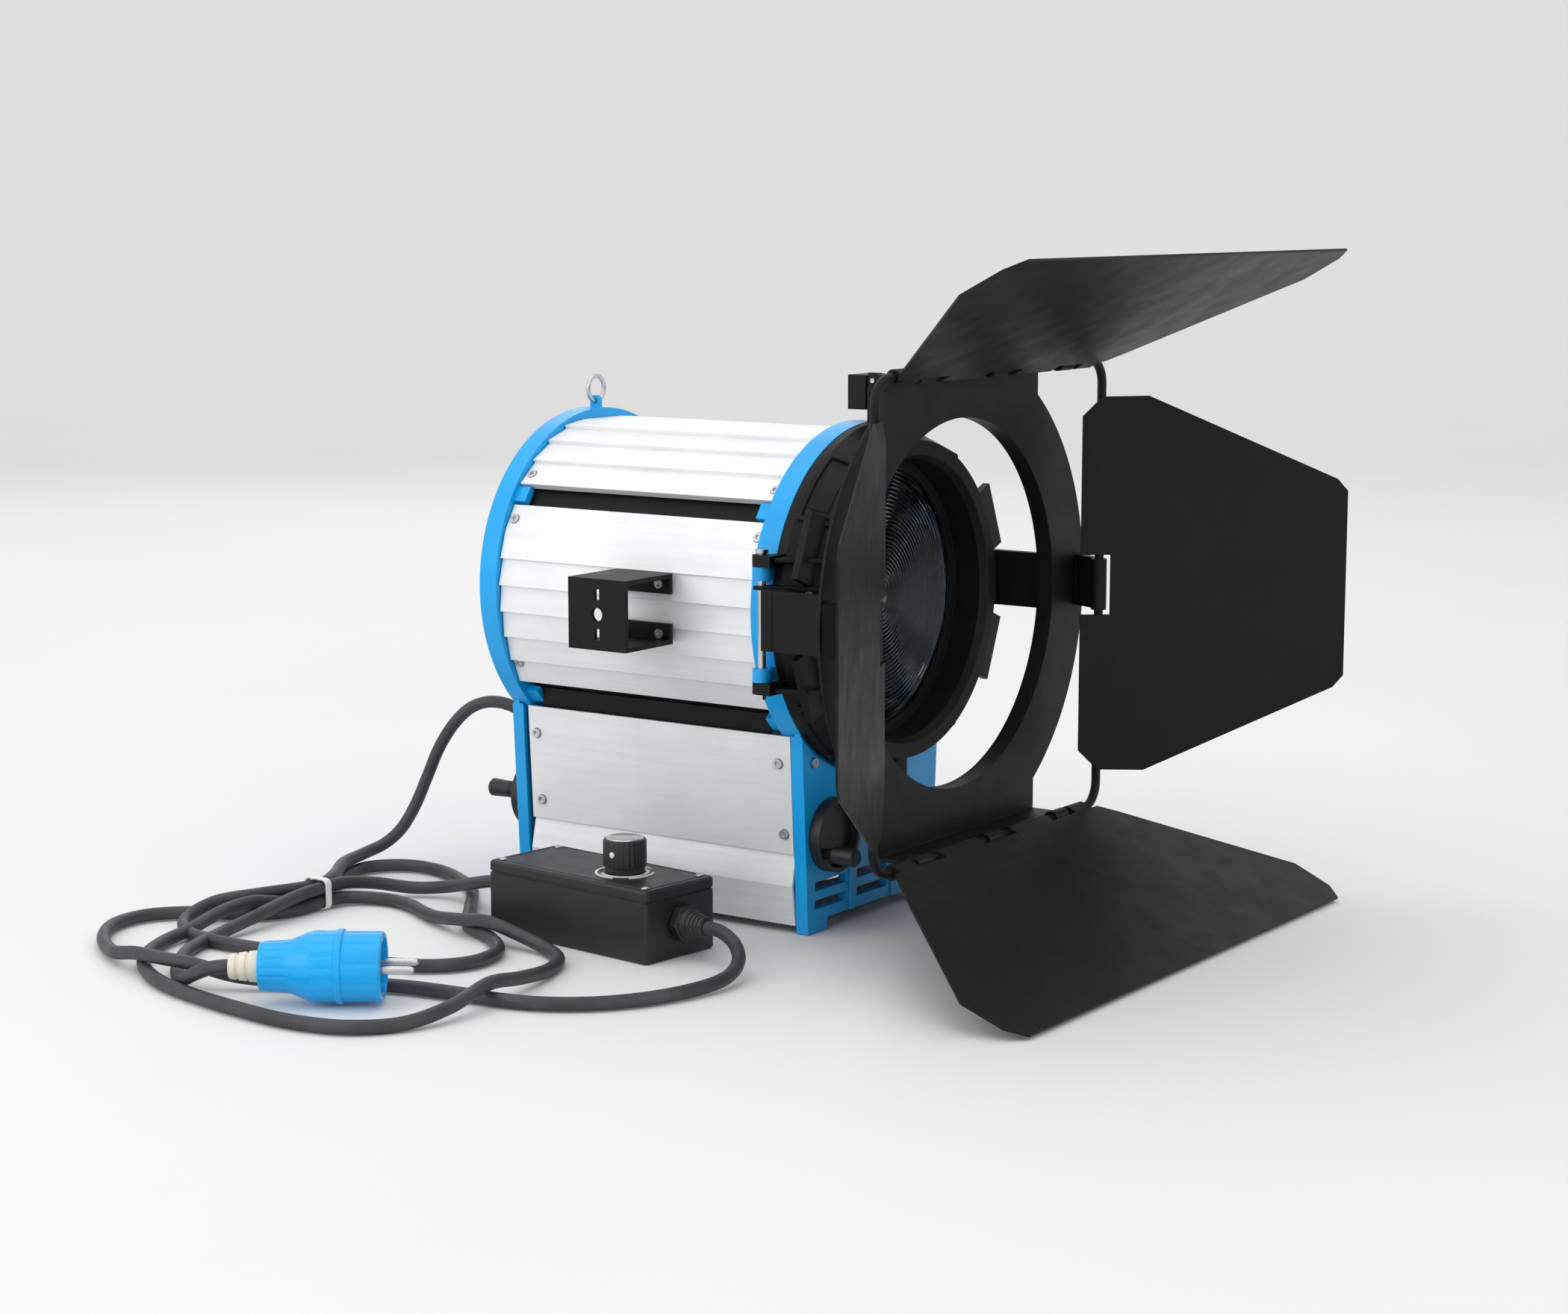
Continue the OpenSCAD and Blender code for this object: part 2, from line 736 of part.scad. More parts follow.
module right_leaf() {
    color(black) about_axis(rod_f) translate([rod_x, 0, 0]) rotate([0, 0, -90])
        rotate([90 - right_angle, 0, 0]) side_leaf_flat();
}

module left_leaf() {
    color(black) about_axis(rod_f) translate([-rod_x, 0, 0]) rotate([0, 0, 90])
        rotate([90 - left_angle, 0, 0]) side_leaf_flat();
}

// ---------------------------------------------------------------- dimmer and cords

box_at = [-155, -14];
box_turn = -6.8;

module at_box() {
    translate([box_at[0], box_at[1], 0]) rotate([0, 0, box_turn]) children();
}

module dimmer_box() {
    color(black) at_box() difference() {
        translate([-box_w / 2, -box_l / 2, 0]) cube([box_w, box_l, box_h - 6]);
        translate([-box_w / 2 + 2.5, -box_l / 2 + 2.5, 2.5]) cube([box_w - 5, box_l - 5, box_h]);
        for (s = [-1, 1]) translate([0, s * (box_l / 2 - 5), 22]) rotate([-s * 90, 0, 0]) cylinder(r = 7.1, h = 20);
    }
}

module dimmer_lid() {
    color(black) at_box() difference() {
        translate([-box_w / 2, -box_l / 2, box_h - 6]) cube([box_w, box_l, 6]);
        translate([-box_w / 2 + 2.5, -box_l / 2 + 2.5, box_h - 7]) cube([box_w - 5, box_l - 5, 4.5]);
        translate([0, knob_y, box_h - 10]) cylinder(r = 3.55, h = 20);
    }
}

knob_y = -box_l / 2 + 48;

module dimmer_dial() {
    color([0.95, 0.95, 0.95]) at_box() translate([0, knob_y, box_h]) tube(19, 4, 0.6);
}

module dimmer_knob() {
    color(black) at_box() translate([0, knob_y, box_h]) {
        translate([0, 0, -8]) cylinder(r = 3.5, h = 9.5);
        translate([0, 0, 0.9]) cylinder(r = 12.6, h = 4);
        translate([0, 0, 4.5]) cylinder(r = 13.8, h = 18);
    }
}

module box_gland() {
    difference() {
        union() {
            translate([0, 0, -6]) cylinder(r = 7, h = 8);
            cylinder(r = 12, h = 7, $fn = 6);
            translate([0, 0, 7]) cylinder(r1 = 9, r2 = 6, h = 15);
        }
        translate([0, 0, -7]) cylinder(r = cord_d / 2 + 0.05, h = 45);
    }
}

module dimmer_gland() {
    color(black) at_box() translate([0, -box_l / 2, 22]) rotate([90, 0, 0]) box_gland();
}

module supply_gland() {
    color(black) at_box() translate([0, box_l / 2, 22]) rotate([-90, 0, 0]) box_gland();
}

// A smooth curve through hand-chosen points, and a tube swept along it
function spline(a, b, c, d, t) =
    0.5 * (2 * b + (c - a) * t + (2 * a - 5 * b + 4 * c - d) * t * t + (3 * b - a - 3 * c + d) * t * t * t);
function smooth(p, n) = concat(
    [for (i = [0 : len(p) - 2]) for (k = [0 : n - 1])
        spline(p[max(i - 1, 0)], p[i], p[i + 1], p[min(i + 2, len(p) - 1)], k / n)],
    [p[len(p) - 1]]);
function unit(v) = v / norm(v);
function ring_at(path, i, sides, r) =
    let (t = unit(path[min(i + 1, len(path) - 1)] - path[max(i - 1, 0)]),
         u = unit(cross(t, [0, 0, 1])),
         v = cross(u, t))
    [for (k = [0 : sides - 1]) path[i] + r * (cos(360 * k / sides) * u + sin(360 * k / sides) * v)];

module cord_tube(points, per_span) {
    sides = 8;
    path = smooth(points, per_span);
    n = len(path);
    rings = [for (i = [0 : n - 1]) each ring_at(path, i, sides, cord_d / 2)];
    walls = [for (i = [0 : n - 2]) for (k = [0 : sides - 1])
        [i * sides + k, i * sides + (k + 1) % sides, (i + 1) * sides + (k + 1) % sides, (i + 1) * sides + k]];
    caps = [[for (k = [sides - 1 : -1 : 0]) k], [for (k = [0 : sides - 1]) (n - 1) * sides + k]];
    color([0.12, 0.13, 0.14]) polyhedron(points = rings, faces = concat(walls, caps), convexity = 10);
}

// From the lamp's gland down to the coil
lamp_route = [
    [-45, 146.2, 118], [-45, 157, 121.5], [-45, 169, 125], [-46, 181, 123], [-48.5, 193, 114.5],
    [-52, 203, 100], [-56, 210, 82], [-60, 216, 62], [-64.5, 223, 42], [-71, 230, 26], [-81, 236, 15.5],
    [-93, 240, 11], [-96, 240.6, 10.5]];
// From the coil round the dimmer's end to its gland
dimmer_route = [
    [-318, -74, 6], [-315, -86, 5.5], [-306, -103, 5], [-290, -118, 5], [-262, -130, 5], [-230, -137, 5],
    [-202, -137, 7], [-183, -130, 12], [-171, -119, 18.5], [-165.9, -105.35, 22]];
// From the coil to the dimmer's other gland
supply_route = [[-141, 112, 14], [-141.4, 103, 15.3], [-142.3, 94, 18.4], [-143.3, 85, 21], [-144.1, 77.35, 22]];
// From the coil to the plug
plug_route = [[-407.3, 96, 14.4], [-407.3, 89, 15.8], [-407, 82, 18.2], [-405.2, 73.5, 21.6], [-402, 66, 22.5]];

module lamp_cord() {
    cord_tube(lamp_route, 2);
}

module dimmer_cord() {
    cord_tube(dimmer_route, 2);
}

module mains_cord() {
    cord_tube(supply_route, 1);
}

module plug_cord() {
    cord_tube(plug_route, 1);
}

// The looped stretch of both cords, as one flat ring of its outer shape. It passes through the tie.
module cord_coil() {
    color([0.12, 0.13, 0.14]) translate([0, 0, 1.6]) linear_extrude(18) difference() {
        polygon([
            [-96, 229], [-96, 252], [-112, 246], [-135, 232], [-165, 211], [-190, 198.5], [-203, 198.5],
            [-225, 208], [-245, 222], [-262, 246], [-286, 264], [-322, 262], [-354, 238], [-380, 198],
            [-398, 150], [-412, 126], [-424, 84], [-430, 50], [-430, 0], [-420, -42], [-392, -66],
            [-355, -74], [-304, -74], [-290, -66], [-240, -56], [-208, -36], [-199, -10], [-198, 50],
            [-184, 68], [-158, 86], [-158, 112], [-128, 112], [-102, 132], [-78, 166], [-70, 196],
            [-74, 222], [-86, 234]]);
        polygon([
            [-110, 222], [-140, 214], [-170, 196], [-190, 181.5], [-203, 181.5], [-250, 176], [-300, 172],
            [-342, 156], [-366, 132], [-362, 90], [-340, 50], [-318, 10], [-310, -30], [-300, -48],
            [-250, -38], [-222, -20], [-216, 50], [-200, 90], [-150, 118], [-115, 146], [-92, 176],
            [-86, 200], [-94, 220]]);
        polygon([
            [-394, 96], [-416, 96], [-416, 60], [-411, 20], [-412, 0], [-402, -30], [-384, -48],
            [-345, -54], [-326, -44], [-327, 8], [-352, 50], [-376, 88]]);
    }
}

module cord_tie() {
    color([0.93, 0.93, 0.93]) translate([-199.5, 179.9, 0]) difference() {
        cube([5, 20.2, 21]);
        translate([-1, 1.3, 1.3]) cube([7, 17.6, 18.4]);
    }
}

plug_from = [-402, 66, 22.5];
plug_turn = -55.3;

// The plug's parts lie along +X from the cord's end, then turn to the plug's direction
module at_plug() {
    translate(plug_from) rotate([0, 0, plug_turn]) rotate([0, 90, 0]) children();
}

module plug_bush() {
    color(ceramic) at_plug() cylinder(r1 = 7.5, r2 = 9.5, h = 18);
}

module plug_body() {
    color(blue) at_plug() difference() {
        union() {
            translate([0, 0, 18]) cylinder(r1 = 14, r2 = 15.5, h = 18);
            translate([0, 0, 36]) cylinder(r1 = 15.5, r2 = 21, h = 13);
            translate([0, 0, 49]) cylinder(r = 21, h = 14);
            translate([0, 0, 63]) cylinder(r = 22, h = 4);
            translate([0, 0, 67]) cylinder(r = 21, h = 23);
        }
        for (s = [-1, 1]) translate([0, s * 9.5, 75]) cylinder(r = 2.4, h = 20);
        translate([0, 0, 82]) cylinder(r = 3.2, h = 10);
    }
}

module plug_pins() {
    color(steel) at_plug() for (s = [-1, 1]) translate([0, s * 9.5, 75]) cylinder(r = 2.35, h = 34);
}

front_frame();
rear_frame();
rear_cover();
inner_liner();
top_panel();
side_panel_left();
side_panel_right();
base_panel_left();
base_panel_right();
base_skirt_left();
base_skirt_right();
vent_screen_left();
vent_screen_right();
base_plate();
panel_screws();
safety_ring();
yoke_bracket_left();
yoke_bracket_right();
bracket_screws();
cable_gland();
guide_rods();
lamp_carriage();
reflector();
lamp_holder();
halogen_lamp();
focus_spindle();
front_crank();
rear_crank();
front_grip();
rear_grip();
lens_door();
hinge_pin();
fresnel_lens();
lens_retainer();
door_latch();
latch_pin();
top_latch();
top_latch_pin();
barndoor_ring();
barndoor_plate();
rod_frame();
top_leaf();
bottom_leaf();
left_leaf();
right_leaf();
lamp_cord();
dimmer_cord();
cord_coil();
plug_cord();
mains_cord();
cord_tie();
dimmer_box();
dimmer_lid();
dimmer_knob();
dimmer_dial();
dimmer_gland();
supply_gland();
plug_body();
plug_bush();
plug_pins();
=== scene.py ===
import json
import math

import bmesh
import bpy
from mathutils import Matrix, Vector


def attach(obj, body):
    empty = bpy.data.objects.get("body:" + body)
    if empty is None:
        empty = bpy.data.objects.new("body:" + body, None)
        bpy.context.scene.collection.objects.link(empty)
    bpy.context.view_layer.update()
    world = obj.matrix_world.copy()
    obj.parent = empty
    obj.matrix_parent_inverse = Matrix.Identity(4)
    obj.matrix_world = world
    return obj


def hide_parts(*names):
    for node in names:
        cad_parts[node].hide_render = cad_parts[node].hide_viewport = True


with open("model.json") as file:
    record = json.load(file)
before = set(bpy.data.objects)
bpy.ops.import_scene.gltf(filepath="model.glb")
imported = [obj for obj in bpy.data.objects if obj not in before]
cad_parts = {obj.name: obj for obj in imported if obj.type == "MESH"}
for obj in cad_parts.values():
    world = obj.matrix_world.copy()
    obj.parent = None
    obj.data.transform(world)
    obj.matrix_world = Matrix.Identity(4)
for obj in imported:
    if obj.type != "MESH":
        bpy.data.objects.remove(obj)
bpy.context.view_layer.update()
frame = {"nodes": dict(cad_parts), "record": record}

NODES = frame["nodes"]
MM = 0.001

# ---------------------------------------------------------------- camera, light and floor

CAMERA_PLACE = (-1.6235, -1.1726, 0.4652)
CAMERA_TILT = 8.67
CAMERA_TURN = -55.29
CAMERA_LENS = 69.32

cam_data = bpy.data.cameras.new("camera")
cam_data.lens = CAMERA_LENS
cam_data.sensor_width = 36
cam_data.clip_start = 0.05
camera = bpy.data.objects.new("camera", cam_data)
camera.location = CAMERA_PLACE
camera.rotation_euler = (math.radians(90 - CAMERA_TILT), 0, math.radians(CAMERA_TURN))
bpy.context.scene.collection.objects.link(camera)
bpy.context.scene.camera = camera


def area_light(name, place, target, size, power):
    """A soft rectangular light at place, aimed at target; lengths in metres, power in watts."""
    data = bpy.data.lights.new(name, "AREA")
    data.shape = "RECTANGLE"
    data.size, data.size_y = size
    data.energy = power
    lamp = bpy.data.objects.new(name, data)
    lamp.location = place
    lamp.rotation_euler = (Vector(target) - Vector(place)).to_track_quat("-Z", "Y").to_euler()
    bpy.context.scene.collection.objects.link(lamp)


area_light("top_softbox", (-0.3, 0.2, 2.4), (0, 0, 0.1), (2.4, 2.4), 12)
area_light("side_softbox", (-2.6, 0.9, 1.3), (0, 0, 0.2), (1.8, 1.6), 14)
area_light("front_softbox", (-1.0, -2.6, 1.5), (0, -0.1, 0.2), (2.0, 1.4), 9)
area_light("rear_softbox", (1.8, 1.9, 1.6), (0, 0, 0.25), (1.6, 1.6), 7)

world = bpy.data.worlds.new("studio")
world.use_nodes = True
surround = world.node_tree.nodes["Background"]
surround.inputs["Color"].default_value = (0.90, 0.90, 0.90, 1)
surround.inputs["Strength"].default_value = 1.0
bpy.context.scene.world = world
bpy.context.scene.view_settings.view_transform = "Standard"

# ---------------------------------------------------------------- materials


class Graph:
    """A material's node tree, with short calls for the nodes that are used here."""

    def __init__(self, name):
        self.mat = bpy.data.materials.new(name)
        self.mat.use_nodes = True
        self.tree = self.mat.node_tree
        self.bsdf = self.tree.nodes["Principled BSDF"]
        self.coord = self.tree.nodes.new("ShaderNodeTexCoord")

    def link(self, a, b):
        self.tree.links.new(a, b)

    def node(self, kind, **values):
        made = self.tree.nodes.new(kind)
        for key, value in values.items():
            setattr(made, key, value)
        return made

    def scaled(self, scale):
        mapping = self.node("ShaderNodeMapping")
        mapping.inputs["Scale"].default_value = scale
        self.link(self.coord.outputs["Object"], mapping.inputs["Vector"])
        return mapping.outputs["Vector"]

    def noise(self, size, detail, stretch=(1, 1, 1)):
        """Noise whose grains are about size metres across."""
        tex = self.node("ShaderNodeTexNoise")
        tex.inputs["Scale"].default_value = 1.0
        tex.inputs["Detail"].default_value = detail
        self.link(self.scaled([s / size for s in stretch]), tex.inputs["Vector"])
        return tex.outputs["Fac"]

    def ramp(self, source, low, high, a=0.0, b=1.0):
        """The source's range low to high mapped to a to b, clamped."""
        made = self.node("ShaderNodeMapRange")
        for key, value in (("From Min", low), ("From Max", high), ("To Min", a), ("To Max", b)):
            made.inputs[key].default_value = value
        self.link(source, made.inputs["Value"])
        return made.outputs["Result"]

    def mix(self, fac, a, b):
        """Colour a where fac is 0 and b where it is 1; each is a socket or three numbers."""
        made = self.node("ShaderNodeMix", data_type="RGBA")
        for value, socket in ((a, made.inputs[6]), (b, made.inputs[7])):
            if hasattr(value, "is_linked"):
                self.link(value, socket)
            else:
                socket.default_value = (*value, 1)
        self.link(fac, made.inputs[0])
        return made.outputs[2]

    def maths(self, op, a, b):
        made = self.node("ShaderNodeMath", operation=op)
        for value, socket in ((a, made.inputs[0]), (b, made.inputs[1])):
            if hasattr(value, "is_linked"):
                self.link(value, socket)
            else:
                socket.default_value = value
        return made.outputs[0]

    def edges(self, width):
        """About 1 along sharp edges and 0 on faces."""
        bevel = self.node("ShaderNodeBevel")
        bevel.samples = 4
        bevel.inputs["Radius"].default_value = width
        geometry = self.node("ShaderNodeNewGeometry")
        dot = self.node("ShaderNodeVectorMath", operation="DOT_PRODUCT")
        self.link(bevel.outputs["Normal"], dot.inputs[0])
        self.link(geometry.outputs["Normal"], dot.inputs[1])
        return self.ramp(dot.outputs["Value"], 0.999, 0.86)

    def bump(self, height, depth, soften=0.0):
        """Relief of the given depth, with edges rounded to the radius soften; both in metres."""
        made = self.node("ShaderNodeBump")
        made.inputs["Strength"].default_value = 1.0
        made.inputs["Distance"].default_value = depth
        self.link(height, made.inputs["Height"])
        if soften:
            bevel = self.node("ShaderNodeBevel")
            bevel.samples = 4
            bevel.inputs["Radius"].default_value = soften
            self.link(bevel.outputs["Normal"], made.inputs["Normal"])
        self.link(made.outputs["Normal"], self.bsdf.inputs["Normal"])

    def colour(self, source):
        self.link(source, self.bsdf.inputs["Base Color"])

    def rough(self, source):
        self.link(source, self.bsdf.inputs["Roughness"])


EDGE_WEAR = 0.35
COATED_EDGE = 0.0007
METAL_EDGE = 0.0005
METAL_GRAIN_DEPTH = 0.00002


def coated(name, base, worn, roughness, grain, depth, coat=0.0, specular=0.5):
    """Paint, powder coat or moulded plastic: faint mottling, grain, and edges rubbed lighter."""
    g = Graph(name)
    g.bsdf.inputs["Coat Weight"].default_value = coat
    g.bsdf.inputs["Coat Roughness"].default_value = 0.25
    g.bsdf.inputs["Specular IOR Level"].default_value = specular
    mottled = g.mix(g.ramp(g.noise(0.045, 4), 0.3, 0.7), base, [c * 0.86 + 0.004 for c in base])
    rubbed = g.maths("MULTIPLY", g.edges(0.0009), g.ramp(g.noise(0.012, 5), 0.42, 0.68, 0.1, 1.0))
    g.colour(g.mix(g.maths("MULTIPLY", rubbed, EDGE_WEAR), mottled, worn))
    g.rough(g.ramp(g.noise(0.02, 5), 0.25, 0.75, roughness - 0.06, roughness + 0.07))
    g.bump(g.noise(grain, 2), depth, COATED_EDGE)
    return g.mat


def metal(name, base, roughness, stretch, size=0.004, metallic=1.0):
    """Brushed or turned metal: long fine streaks, uneven sheen and faint smudges."""
    g = Graph(name)
    g.bsdf.inputs["Metallic"].default_value = metallic
    streak = g.noise(size, 4, stretch)
    smudge = g.noise(0.06, 4)
    shade = g.mix(g.ramp(smudge, 0.35, 0.7), base, [c * 0.9 for c in base])
    g.colour(g.mix(g.ramp(streak, 0.3, 0.75, 0.0, 0.35), shade, [c * 0.78 for c in base]))
    g.rough(g.maths("ADD", g.ramp(streak, 0.2, 0.8, roughness - 0.07, roughness + 0.08),
                    g.ramp(smudge, 0.45, 0.75, 0.0, 0.08)))
    g.bump(streak, METAL_GRAIN_DEPTH, METAL_EDGE)
    return g.mat


def glassy(name, tint_and_painted_shade, roughness):
    """Clear glass with a faint tint darkened to grey as painted shade, and fine dust."""
    g = Graph(name)
    g.bsdf.inputs["Transmission Weight"].default_value = 1.0
    g.bsdf.inputs["IOR"].default_value = 1.47
    dust = g.ramp(g.noise(0.03, 6), 0.5, 0.8, 0.0, 0.05)
    g.colour(g.mix(dust, tint_and_painted_shade, (0.75, 0.76, 0.76)))
    g.rough(g.ramp(g.noise(0.02, 4), 0.3, 0.8, roughness, roughness + 0.06))
    return g.mat


def rubber_cord(name, base):
    """A cord's sheath: matt, with a faint dusty bloom and fine lengthwise drag marks."""
    g = Graph(name)
    bloom = g.noise(0.035, 5)
    g.colour(g.mix(g.ramp(bloom, 0.4, 0.75, 0.0, 0.7), base, [c * 1.9 + 0.01 for c in base]))
    g.rough(g.ramp(g.noise(0.01, 4), 0.3, 0.7, 0.42, 0.58))
    g.bump(g.noise(0.0016, 3), 0.00012)
    return g.mat


MAT = {
    "blue_paint": coated("blue_paint", (0.004, 0.40, 0.90), (0.16, 0.58, 0.92), 0.36, 0.0016, 0.00005,
                         coat=0.1, specular=0.35),
    "silver_panel": metal("silver_panel", (0.91, 0.92, 0.93), 0.50, (1, 0.03, 1), metallic=0.35),
    "black_metal": coated("black_metal", (0.0065, 0.0065, 0.007), (0.07, 0.07, 0.07), 0.46, 0.0009, 0.00005,
                          specular=0.17),
    "steel": metal("steel", (0.62, 0.62, 0.63), 0.28, (1, 1, 1), 0.002),
    "bright_metal": metal("bright_metal", (0.90, 0.90, 0.90), 0.12, (1, 1, 1), 0.01),
    "ceramic": coated("ceramic", (0.84, 0.82, 0.76), (0.9, 0.9, 0.88), 0.6, 0.0012, 0.00005),
    "cream_plastic": coated("cream_plastic", (0.78, 0.74, 0.62), (0.85, 0.82, 0.75), 0.45, 0.0014,
                            0.00005),
    # The glass's grey tint is painted shade: it darkens the lens as if it were shaded from within.
    "glass": glassy("glass", (0.62, 0.66, 0.68), 0.01),
    "black_plastic": coated("black_plastic", (0.012, 0.012, 0.013), (0.09, 0.09, 0.09), 0.45, 0.0008,
                            0.00006),
    "white_plastic": coated("white_plastic", (0.86, 0.86, 0.85), (0.9, 0.9, 0.9), 0.4, 0.001, 0.00003),
    "blue_plastic": coated("blue_plastic", (0.003, 0.42, 0.92), (0.14, 0.56, 0.92), 0.3, 0.0014, 0.00004,
                           coat=0.12, specular=0.35),
    "cord_rubber": rubber_cord("cord_rubber", (0.030, 0.032, 0.036)),
}
SLOT_OF = {s["node"]: s["material_slot"] for s in frame["record"]["subparts"]}


def paint(obj, mat):
    """The object's one and only material."""
    obj.data.materials.clear()
    obj.data.materials.append(mat)


for node_name, node_obj in NODES.items():
    paint(node_obj, MAT[SLOT_OF[node_name]])

floor_mat = Graph("pale_floor")
floor_mat.colour(floor_mat.mix(floor_mat.ramp(floor_mat.noise(0.5, 3), 0.3, 0.7),
                               (0.80, 0.80, 0.80), (0.82, 0.82, 0.82)))
floor_mat.bsdf.inputs["Roughness"].default_value = 0.85
FLOOR_DROP = 0.0005


def backdrop(near, flat, bend, top, half_width):
    """A floor that sweeps up into a wall behind the object, square to the camera's turn.
    It runs from near metres before the object to flat behind it, then bends up to the height top."""
    line = [(-near, 0.0), (flat, 0.0)]
    for angle in range(6, 91, 6):
        a = math.radians(angle)
        line.append((flat + bend * math.sin(a), bend * (1 - math.cos(a))))
    line.append((flat + bend, top))
    turn = Matrix.Rotation(math.radians(CAMERA_TURN), 3, "Z")
    verts = [turn @ Vector((side * half_width, along, up - FLOOR_DROP))
             for along, up in line for side in (-1, 1)]
    faces = [(2 * i, 2 * i + 1, 2 * i + 3, 2 * i + 2) for i in range(len(line) - 1)]
    mesh = bpy.data.meshes.new("floor")
    mesh.from_pydata(verts, [], faces)
    mesh.shade_smooth()
    return mesh


floor = bpy.data.objects.new("floor", backdrop(6, 3.2, 2.0, 7, 9))
paint(floor, floor_mat.mat)
bpy.context.scene.collection.objects.link(floor)

# ---------------------------------------------------------------- cords

CORD_D = 8.5 * MM
STEPS_PER_SPAN = 8


def smooth_path(points):
    """A Catmull-Rom curve through points given in millimetres, returned in metres."""
    pts = [Vector(p) * MM for p in points]
    out = []
    for i in range(len(pts) - 1):
        a, b = pts[max(i - 1, 0)], pts[i]
        c, d = pts[i + 1], pts[min(i + 2, len(pts) - 1)]
        for k in range(STEPS_PER_SPAN):
            t = k / STEPS_PER_SPAN
            out.append(0.5 * (2 * b + (c - a) * t + (2 * a - 5 * b + 4 * c - d) * t * t
                              + (3 * b - a - 3 * c + d) * t ** 3))
    out.append(pts[-1])
    return out


def tube_curve(name, path, diameter, mat):
    """A round cord along a path, as one open poly spline with a bevel."""
    data = bpy.data.curves.new(name, "CURVE")
    data.dimensions = "3D"
    data.bevel_depth = diameter / 2
    data.bevel_resolution = 5
    data.use_fill_caps = True
    spline = data.splines.new("POLY")
    spline.points.add(len(path) - 1)
    for point, place in zip(spline.points, path):
        point.co = (*place, 1)
    obj = bpy.data.objects.new(name, data)
    bpy.context.scene.collection.objects.link(obj)
    obj.data.materials.append(mat)
    return obj


# From the lamp's gland to the floor, through the tie, round both loops and into the dimmer's front gland
LAMP_CORD = [
    (-45, 146.2, 118), (-45, 158, 120), (-45.5, 172, 119), (-47, 186, 113), (-50, 198, 101),
    (-54, 208, 84), (-58, 216, 63), (-63, 223, 43), (-70, 230, 27), (-81, 236, 17.5), (-100, 238, 13.6),
    (-130, 229, 13.6), (-160, 209, 14.2), (-182, 196.5, 14.6), (-197, 194.4, 14.6), (-212, 198.5, 14.6),
    (-235, 208, 14.4), (-262, 219, 13.2), (-287, 220, 7), (-305, 200, 4.4), (-312, 170, 4.4),
    (-311, 140, 4.4), (-306, 100, 4.4), (-295, 48, 4.4), (-281, 16, 4.4), (-258, 2, 4.4), (-230, 8, 4.4),
    (-208, 32, 4.4), (-190, 66, 4.4), (-152, 97, 4.4), (-112, 130, 4.4), (-86, 170, 4.4), (-78, 200, 4.4),
    (-84, 222, 4.4), (-103, 235, 4.4), (-130, 228, 4.6), (-160, 209, 5.2), (-182, 196.5, 5.7),
    (-197, 194.4, 5.7), (-215, 195, 7), (-235, 197, 11), (-252, 199, 13.6), (-275, 201, 11.5),
    (-303, 200, 6), (-335, 193, 4.4), (-365, 176, 4.4), (-388, 150, 4.4), (-403, 120, 4.4),
    (-412, 85, 4.4), (-419, 40, 4.4), (-421, 0, 4.4), (-412, -35, 4.4), (-388, -56, 4.4), (-356, -63, 8),
    (-320, -61, 13.4), (-285, -56, 8.5), (-250, -48, 4.4), (-225, -36, 4.4), (-210, -15, 4.6),
    (-206, 10, 9), (-204, 38, 13.4), (-199, 66, 10), (-186, 100, 5), (-169, 135, 4.4), (-166, 160, 4.4),
    (-177, 180, 5), (-197, 185.5, 5.7), (-222, 186.5, 4.5), (-243, 196, 4.4), (-255, 216, 4.4),
    (-268, 240, 4.4), (-290, 256, 4.4), (-318, 254, 4.4), (-347, 232, 4.4), (-371, 197, 6),
    (-382, 165, 12), (-388, 135, 14.2), (-387, 110, 14), (-376, 84, 8), (-352, 47, 4.4), (-330, 6, 4.4),
    (-322, -33, 4.4), (-318, -68, 4.4), (-309, -96, 4.4), (-290, -121, 4.4), (-262, -139, 4.4),
    (-230, -149, 4.8), (-205, -150, 6.5), (-185, -143, 11), (-173, -131, 17), (-167.4, -117, 21.3),
    (-165.9, -105.35, 22)]
# From the dimmer's other gland through the tie to the plug
MAINS_LEAD = [
    (-144.1, 77.35, 22), (-142.6, 86, 21.6), (-138, 99, 18.5), (-131, 116, 13.8), (-127, 139, 8),
    (-135, 161, 6), (-154, 179, 10.5), (-177, 185, 14.3), (-197, 185.5, 14.6), (-225, 184, 13.8),
    (-262, 182, 9), (-300, 179, 4.6), (-338, 166, 4.4), (-370, 142, 4.4), (-390, 121, 5),
    (-401, 104, 9.5), (-406, 91, 15), (-406.4, 80, 19.8), (-404, 70, 22.2), (-402, 66, 22.5)]


def add_cord(name, points, body, cad_nodes):
    """A cord along its route, which starts where it leaves the object."""
    path = smooth_path(points)
    cord = tube_curve(name, path, CORD_D, MAT["cord_rubber"])
    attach(cord, body)
    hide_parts(*cad_nodes)


# ---------------------------------------------------------------- helpers for the visual pieces

# The lens axis's height, the housing's length and where the lens door starts, in millimetres
AXIS_H = 210
BODY_L = 236
DOOR_F = BODY_L / 2 - 1

# Points closer than this many metres are joined, and edges sharper than this many degrees are rounded
WELD = 1e-6
BEVEL_FROM = 40


